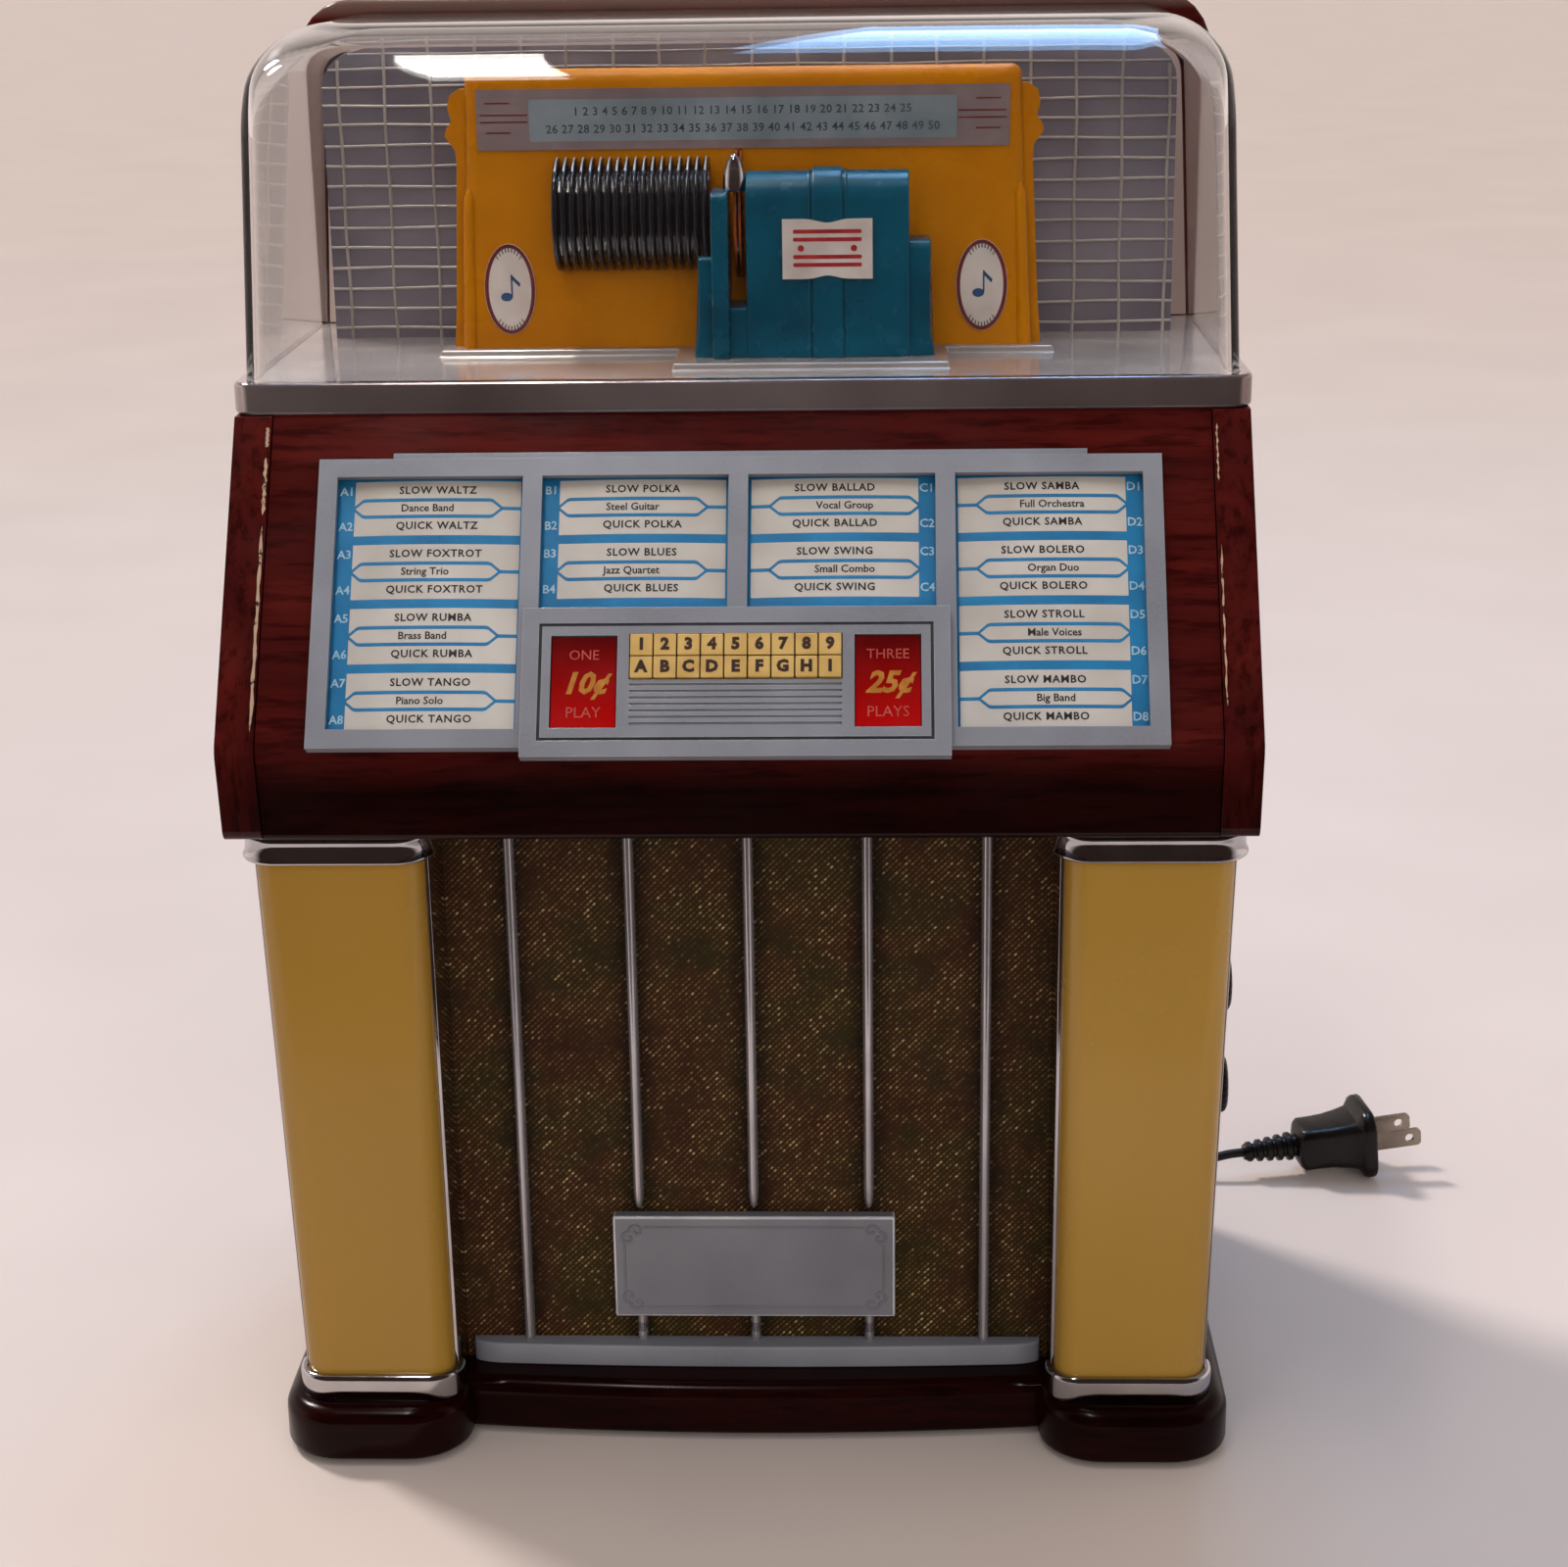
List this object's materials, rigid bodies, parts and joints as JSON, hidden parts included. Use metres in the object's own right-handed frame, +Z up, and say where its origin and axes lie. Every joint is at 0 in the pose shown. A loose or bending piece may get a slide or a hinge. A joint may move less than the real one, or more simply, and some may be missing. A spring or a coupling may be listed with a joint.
{
  "type": "jukebox radio",
  "caption": "Table radio styled as a jukebox: mahogany cabinet, clear dome over a record player, sloped title and key panel, light columns and speaker grille.",
  "frame": {"origin": "middle of the cabinet's footprint, on the surface it stands on", "axes": "+Z up, -Y towards the listener, +X to the right as seen from the front"},
  "size_m": [0.3735, 0.2771, 0.415],
  "materials": {
    "mahogany": "high gloss lacquer",
    "dark_board": "matt",
    "rubber": "matt",
    "steel": "plain",
    "clear_plastic": "clear",
    "chrome": "polished",
    "satin_silver": "satin metallised",
    "amber_plastic": "translucent gloss",
    "printed_card": "printed",
    "black_record": "gloss",
    "brown_record": "gloss",
    "teal_plastic": "gloss",
    "lamp_glass": "frosted",
    "red_plastic": "translucent gloss",
    "circuit_board": "laminate",
    "cream_plastic": "translucent gloss",
    "chipboard": "raw",
    "grille_fabric": "woven with gold thread",
    "black_plastic": "satin",
    "cord_rubber": "satin",
    "key_plastic": "gloss"
  },
  "bodies": {
    "cabinet": {"base_plinth": "mahogany", "lower_cabinet": "mahogany", "console_shell": "mahogany", "side_cheeks": "mahogany", "rear_shell": "mahogany", "back_cover": "dark_board", "foot_pads": "rubber", "cover_screws": "steel", "transformer": "steel", "speaker": "steel", "control_units": "steel", "dome": "clear_plastic", "title_glazing": "clear_plastic", "chrome_band": "chrome", "column_ferrules": "chrome", "column_channels": "chrome", "grille_trim": "chrome", "dome_deck": "satin_silver", "backdrop_grid": "satin_silver", "title_frame": "satin_silver", "key_bezel": "satin_silver", "nameplate": "satin_silver", "mechanism_panel": "amber_plastic", "mechanism_labels": "printed_card", "title_cards": "printed_card", "record_stack": "black_record", "play_record": "brown_record", "carriage": "teal_plastic", "lamps": "lamp_glass", "coin_lenses": "red_plastic", "key_board": "circuit_board", "main_board": "circuit_board", "columns": "cream_plastic", "speaker_baffle": "chipboard", "grille_cloth": "grille_fabric", "cord_gland": "cord_rubber", "cord_lead": "cord_rubber", "cord_coil": "cord_rubber", "cord_tail": "cord_rubber", "plug": "cord_rubber"},
    "tuning_knob": {"tuning_knob": "black_plastic"},
    "volume_knob": {"volume_knob": "black_plastic"},
    "key_1": {"key_1": "key_plastic"},
    "key_2": {"key_2": "key_plastic"},
    "key_3": {"key_3": "key_plastic"},
    "key_4": {"key_4": "key_plastic"},
    "key_5": {"key_5": "key_plastic"},
    "key_6": {"key_6": "key_plastic"},
    "key_7": {"key_7": "key_plastic"},
    "key_8": {"key_8": "key_plastic"},
    "key_9": {"key_9": "key_plastic"},
    "key_a": {"key_a": "key_plastic"},
    "key_b": {"key_b": "key_plastic"},
    "key_c": {"key_c": "key_plastic"},
    "key_d": {"key_d": "key_plastic"},
    "key_e": {"key_e": "key_plastic"},
    "key_f": {"key_f": "key_plastic"},
    "key_g": {"key_g": "key_plastic"},
    "key_h": {"key_h": "key_plastic"},
    "key_i": {"key_i": "key_plastic"}
  },
  "joints": [
    {"name": "tuning_turn", "type": "hinge", "parent": "cabinet", "child": "tuning_knob", "pos_m": [0.127, -0.02, 0.132], "axis": [1, 0, 0], "range_deg": [-90, 90]},
    {"name": "volume_turn", "type": "hinge", "parent": "cabinet", "child": "volume_knob", "pos_m": [0.127, -0.02, 0.099], "axis": [1, 0, 0], "range_deg": [-150, 150]},
    {"name": "key_1_press", "type": "slide", "parent": "cabinet", "child": "key_1", "axis": [0, 0.8339, -0.5519], "range_m": [0, 0.0012], "stiffness_N_per_m": 300, "springref_m": -0.001},
    {"name": "key_2_press", "type": "slide", "parent": "cabinet", "child": "key_2", "axis": [0, 0.8339, -0.5519], "range_m": [0, 0.0012], "stiffness_N_per_m": 300, "springref_m": -0.001},
    {"name": "key_3_press", "type": "slide", "parent": "cabinet", "child": "key_3", "axis": [0, 0.8339, -0.5519], "range_m": [0, 0.0012], "stiffness_N_per_m": 300, "springref_m": -0.001},
    {"name": "key_4_press", "type": "slide", "parent": "cabinet", "child": "key_4", "axis": [0, 0.8339, -0.5519], "range_m": [0, 0.0012], "stiffness_N_per_m": 300, "springref_m": -0.001},
    {"name": "key_5_press", "type": "slide", "parent": "cabinet", "child": "key_5", "axis": [0, 0.8339, -0.5519], "range_m": [0, 0.0012], "stiffness_N_per_m": 300, "springref_m": -0.001},
    {"name": "key_6_press", "type": "slide", "parent": "cabinet", "child": "key_6", "axis": [0, 0.8339, -0.5519], "range_m": [0, 0.0012], "stiffness_N_per_m": 300, "springref_m": -0.001},
    {"name": "key_7_press", "type": "slide", "parent": "cabinet", "child": "key_7", "axis": [0, 0.8339, -0.5519], "range_m": [0, 0.0012], "stiffness_N_per_m": 300, "springref_m": -0.001},
    {"name": "key_8_press", "type": "slide", "parent": "cabinet", "child": "key_8", "axis": [0, 0.8339, -0.5519], "range_m": [0, 0.0012], "stiffness_N_per_m": 300, "springref_m": -0.001},
    {"name": "key_9_press", "type": "slide", "parent": "cabinet", "child": "key_9", "axis": [0, 0.8339, -0.5519], "range_m": [0, 0.0012], "stiffness_N_per_m": 300, "springref_m": -0.001},
    {"name": "key_a_press", "type": "slide", "parent": "cabinet", "child": "key_a", "axis": [0, 0.8339, -0.5519], "range_m": [0, 0.0012], "stiffness_N_per_m": 300, "springref_m": -0.001},
    {"name": "key_b_press", "type": "slide", "parent": "cabinet", "child": "key_b", "axis": [0, 0.8339, -0.5519], "range_m": [0, 0.0012], "stiffness_N_per_m": 300, "springref_m": -0.001},
    {"name": "key_c_press", "type": "slide", "parent": "cabinet", "child": "key_c", "axis": [0, 0.8339, -0.5519], "range_m": [0, 0.0012], "stiffness_N_per_m": 300, "springref_m": -0.001},
    {"name": "key_d_press", "type": "slide", "parent": "cabinet", "child": "key_d", "axis": [0, 0.8339, -0.5519], "range_m": [0, 0.0012], "stiffness_N_per_m": 300, "springref_m": -0.001},
    {"name": "key_e_press", "type": "slide", "parent": "cabinet", "child": "key_e", "axis": [0, 0.8339, -0.5519], "range_m": [0, 0.0012], "stiffness_N_per_m": 300, "springref_m": -0.001},
    {"name": "key_f_press", "type": "slide", "parent": "cabinet", "child": "key_f", "axis": [0, 0.8339, -0.5519], "range_m": [0, 0.0012], "stiffness_N_per_m": 300, "springref_m": -0.001},
    {"name": "key_g_press", "type": "slide", "parent": "cabinet", "child": "key_g", "axis": [0, 0.8339, -0.5519], "range_m": [0, 0.0012], "stiffness_N_per_m": 300, "springref_m": -0.001},
    {"name": "key_h_press", "type": "slide", "parent": "cabinet", "child": "key_h", "axis": [0, 0.8339, -0.5519], "range_m": [0, 0.0012], "stiffness_N_per_m": 300, "springref_m": -0.001},
    {"name": "key_i_press", "type": "slide", "parent": "cabinet", "child": "key_i", "axis": [0, 0.8339, -0.5519], "range_m": [0, 0.0012], "stiffness_N_per_m": 300, "springref_m": -0.001}
  ]
}
